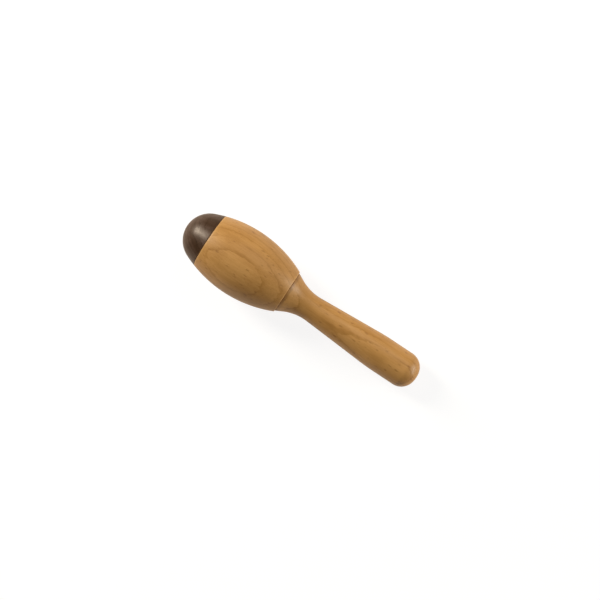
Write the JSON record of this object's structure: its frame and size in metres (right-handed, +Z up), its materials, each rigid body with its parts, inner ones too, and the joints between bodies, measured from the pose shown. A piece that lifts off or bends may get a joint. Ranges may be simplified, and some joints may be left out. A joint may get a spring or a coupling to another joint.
{
  "type": "egg shaker",
  "caption": "Egg-shaped hollow wooden head with a dark domed end cap, loose steel balls inside, on a waisted, tapering turned handle with a rounded butt.",
  "frame": {"origin": "the middle of the shaker's length and width, on the surface it lies on", "axes": "+X towards the butt of the handle, +Z up from the surface the shaker lies on; the turning axis drops by 5.18 degrees from the head to the butt, because the fat head and the butt both touch the surface"},
  "size_m": [0.1846, 0.0476, 0.0482],
  "materials": {
    "beech": "honey-coloured satin lacquer over fine straight beech grain",
    "stained_hardwood": "dark brown stain under satin lacquer",
    "steel_ball": "smooth bearing-ball steel"
  },
  "bodies": {
    "shaker": {"end_cap": "stained_hardwood", "head_shell": "beech", "handle": "beech"},
    "ball_01": {"ball_01": "steel_ball"},
    "ball_02": {"ball_02": "steel_ball"},
    "ball_03": {"ball_03": "steel_ball"},
    "ball_04": {"ball_04": "steel_ball"},
    "ball_05": {"ball_05": "steel_ball"},
    "ball_06": {"ball_06": "steel_ball"},
    "ball_07": {"ball_07": "steel_ball"},
    "ball_08": {"ball_08": "steel_ball"},
    "ball_09": {"ball_09": "steel_ball"},
    "ball_10": {"ball_10": "steel_ball"},
    "ball_11": {"ball_11": "steel_ball"},
    "ball_12": {"ball_12": "steel_ball"},
    "ball_13": {"ball_13": "steel_ball"},
    "ball_14": {"ball_14": "steel_ball"},
    "ball_15": {"ball_15": "steel_ball"},
    "ball_16": {"ball_16": "steel_ball"},
    "ball_17": {"ball_17": "steel_ball"},
    "ball_18": {"ball_18": "steel_ball"},
    "ball_19": {"ball_19": "steel_ball"},
    "ball_20": {"ball_20": "steel_ball"},
    "ball_21": {"ball_21": "steel_ball"},
    "ball_22": {"ball_22": "steel_ball"},
    "ball_23": {"ball_23": "steel_ball"},
    "ball_24": {"ball_24": "steel_ball"},
    "ball_25": {"ball_25": "steel_ball"},
    "ball_26": {"ball_26": "steel_ball"},
    "ball_27": {"ball_27": "steel_ball"},
    "ball_28": {"ball_28": "steel_ball"},
    "ball_29": {"ball_29": "steel_ball"}
  },
  "joints": [
    {"name": "ball_01_hop", "type": "slide", "parent": "shaker", "child": "ball_01", "axis": [0.0903, 0, 0.9959], "range_m": [0, 0.02998]},
    {"name": "ball_02_hop", "type": "slide", "parent": "shaker", "child": "ball_02", "axis": [0.0903, 0, 0.9959], "range_m": [0, 0.02989]},
    {"name": "ball_03_hop", "type": "slide", "parent": "shaker", "child": "ball_03", "axis": [0.0903, 0, 0.9959], "range_m": [0, 0.02926]},
    {"name": "ball_04_hop", "type": "slide", "parent": "shaker", "child": "ball_04", "axis": [0.0903, 0, 0.9959], "range_m": [0, 0.02808]},
    {"name": "ball_05_hop", "type": "slide", "parent": "shaker", "child": "ball_05", "axis": [0.0903, 0, 0.9959], "range_m": [0, 0.02633]},
    {"name": "ball_06_hop", "type": "slide", "parent": "shaker", "child": "ball_06", "axis": [0.0903, 0, 0.9959], "range_m": [0, 0.03249]},
    {"name": "ball_07_hop", "type": "slide", "parent": "shaker", "child": "ball_07", "axis": [0.0903, 0, 0.9959], "range_m": [0, 0.03266]},
    {"name": "ball_08_hop", "type": "slide", "parent": "shaker", "child": "ball_08", "axis": [0.0903, 0, 0.9959], "range_m": [0, 0.03233]},
    {"name": "ball_09_hop", "type": "slide", "parent": "shaker", "child": "ball_09", "axis": [0.0903, 0, 0.9959], "range_m": [0, 0.03151]},
    {"name": "ball_10_hop", "type": "slide", "parent": "shaker", "child": "ball_10", "axis": [0.0903, 0, 0.9959], "range_m": [0, 0.03018]},
    {"name": "ball_11_hop", "type": "slide", "parent": "shaker", "child": "ball_11", "axis": [0.0903, 0, 0.9959], "range_m": [0, 0.02832]},
    {"name": "ball_12_hop", "type": "slide", "parent": "shaker", "child": "ball_12", "axis": [0.0903, 0, 0.9959], "range_m": [0, 0.03307]},
    {"name": "ball_13_hop", "type": "slide", "parent": "shaker", "child": "ball_13", "axis": [0.0903, 0, 0.9959], "range_m": [0, 0.03347]},
    {"name": "ball_14_hop", "type": "slide", "parent": "shaker", "child": "ball_14", "axis": [0.0903, 0, 0.9959], "range_m": [0, 0.0334]},
    {"name": "ball_15_hop", "type": "slide", "parent": "shaker", "child": "ball_15", "axis": [0.0903, 0, 0.9959], "range_m": [0, 0.03284]},
    {"name": "ball_16_hop", "type": "slide", "parent": "shaker", "child": "ball_16", "axis": [0.0903, 0, 0.9959], "range_m": [0, 0.03179]},
    {"name": "ball_17_hop", "type": "slide", "parent": "shaker", "child": "ball_17", "axis": [0.0903, 0, 0.9959], "range_m": [0, 0.03025]},
    {"name": "ball_18_hop", "type": "slide", "parent": "shaker", "child": "ball_18", "axis": [0.0903, 0, 0.9959], "range_m": [0, 0.02819]},
    {"name": "ball_19_hop", "type": "slide", "parent": "shaker", "child": "ball_19", "axis": [0.0903, 0, 0.9959], "range_m": [0, 0.03249]},
    {"name": "ball_20_hop", "type": "slide", "parent": "shaker", "child": "ball_20", "axis": [0.0903, 0, 0.9959], "range_m": [0, 0.03266]},
    {"name": "ball_21_hop", "type": "slide", "parent": "shaker", "child": "ball_21", "axis": [0.0903, 0, 0.9959], "range_m": [0, 0.03233]},
    {"name": "ball_22_hop", "type": "slide", "parent": "shaker", "child": "ball_22", "axis": [0.0903, 0, 0.9959], "range_m": [0, 0.03151]},
    {"name": "ball_23_hop", "type": "slide", "parent": "shaker", "child": "ball_23", "axis": [0.0903, 0, 0.9959], "range_m": [0, 0.03018]},
    {"name": "ball_24_hop", "type": "slide", "parent": "shaker", "child": "ball_24", "axis": [0.0903, 0, 0.9959], "range_m": [0, 0.02832]},
    {"name": "ball_25_hop", "type": "slide", "parent": "shaker", "child": "ball_25", "axis": [0.0903, 0, 0.9959], "range_m": [0, 0.02998]},
    {"name": "ball_26_hop", "type": "slide", "parent": "shaker", "child": "ball_26", "axis": [0.0903, 0, 0.9959], "range_m": [0, 0.02989]},
    {"name": "ball_27_hop", "type": "slide", "parent": "shaker", "child": "ball_27", "axis": [0.0903, 0, 0.9959], "range_m": [0, 0.02926]},
    {"name": "ball_28_hop", "type": "slide", "parent": "shaker", "child": "ball_28", "axis": [0.0903, 0, 0.9959], "range_m": [0, 0.02808]},
    {"name": "ball_29_hop", "type": "slide", "parent": "shaker", "child": "ball_29", "axis": [0.0903, 0, 0.9959], "range_m": [0, 0.02633]}
  ]
}
